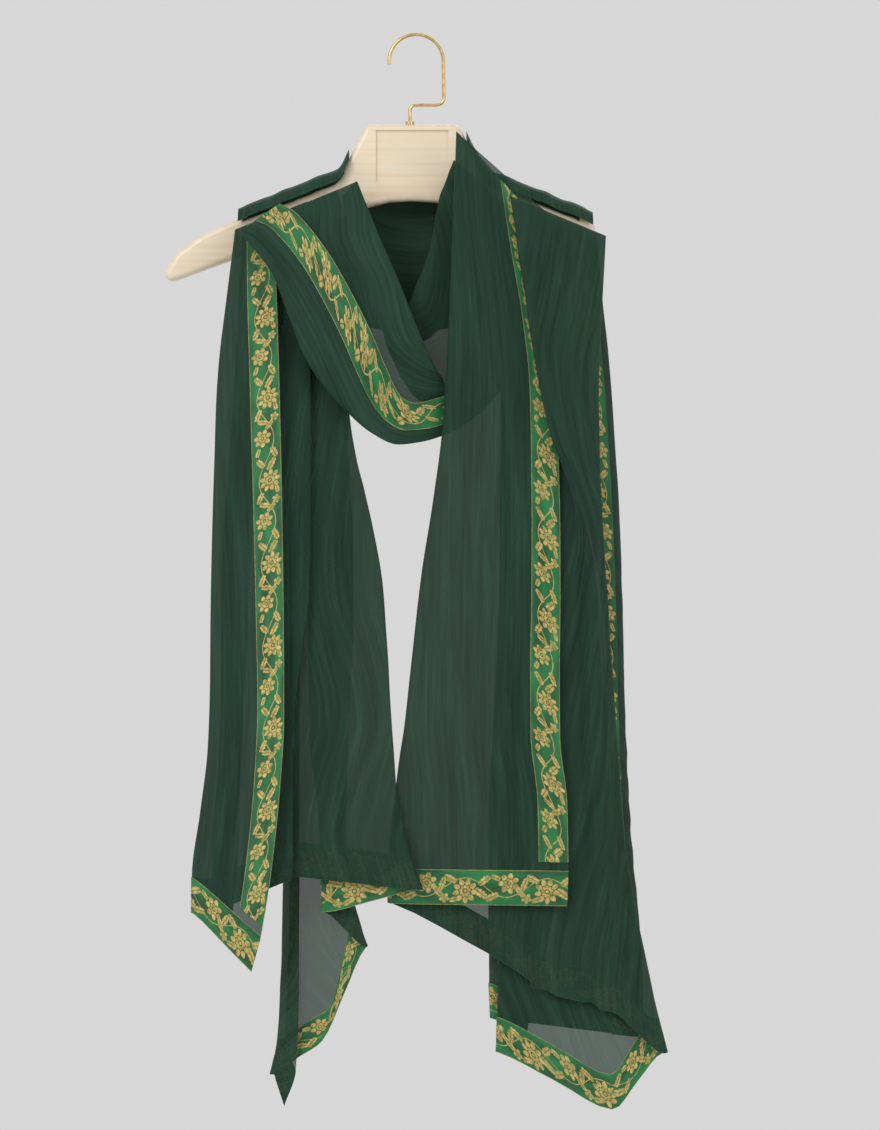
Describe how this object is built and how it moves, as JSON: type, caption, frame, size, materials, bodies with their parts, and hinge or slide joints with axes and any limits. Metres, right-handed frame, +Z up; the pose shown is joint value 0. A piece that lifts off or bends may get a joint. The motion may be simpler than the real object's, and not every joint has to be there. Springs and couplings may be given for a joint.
{
  "type": "dupatta stole on a hanger",
  "caption": "Sheer dark green chiffon dupatta stole with gold brocade borders, wound round the neck of a wooden hanger, both ends hanging in front.",
  "frame": {"origin": "on the underside of the hook's crown, in the middle of its wire, where a rail carries the hanger", "axes": "+Z up, -Y towards someone who faces the stole, +X to their right"},
  "size_m": [0.4444, 0.1433, 0.95],
  "materials": {
    "chiffon": "sheer crinkled chiffon, matte",
    "brocade": "green satin with a woven gold flower and leaf pattern",
    "wood": "pale, satin lacquer",
    "gold_wire": "polished"
  },
  "bodies": {
    "root": {"tail_left": "chiffon", "wrap_inner": "chiffon", "cowl": "chiffon", "wrap_outer": "chiffon", "tail_right": "chiffon", "tail_left_hem_border": "brocade", "tail_left_edge_border": "brocade", "tail_left_far_border": "brocade", "cowl_border": "brocade", "wrap_outer_border": "brocade", "tail_right_hem_border": "brocade", "tail_right_edge_border": "brocade", "tail_right_far_border": "brocade", "hanger_body": "wood", "hook": "gold_wire", "collar": "gold_wire"}
  },
  "joints": []
}
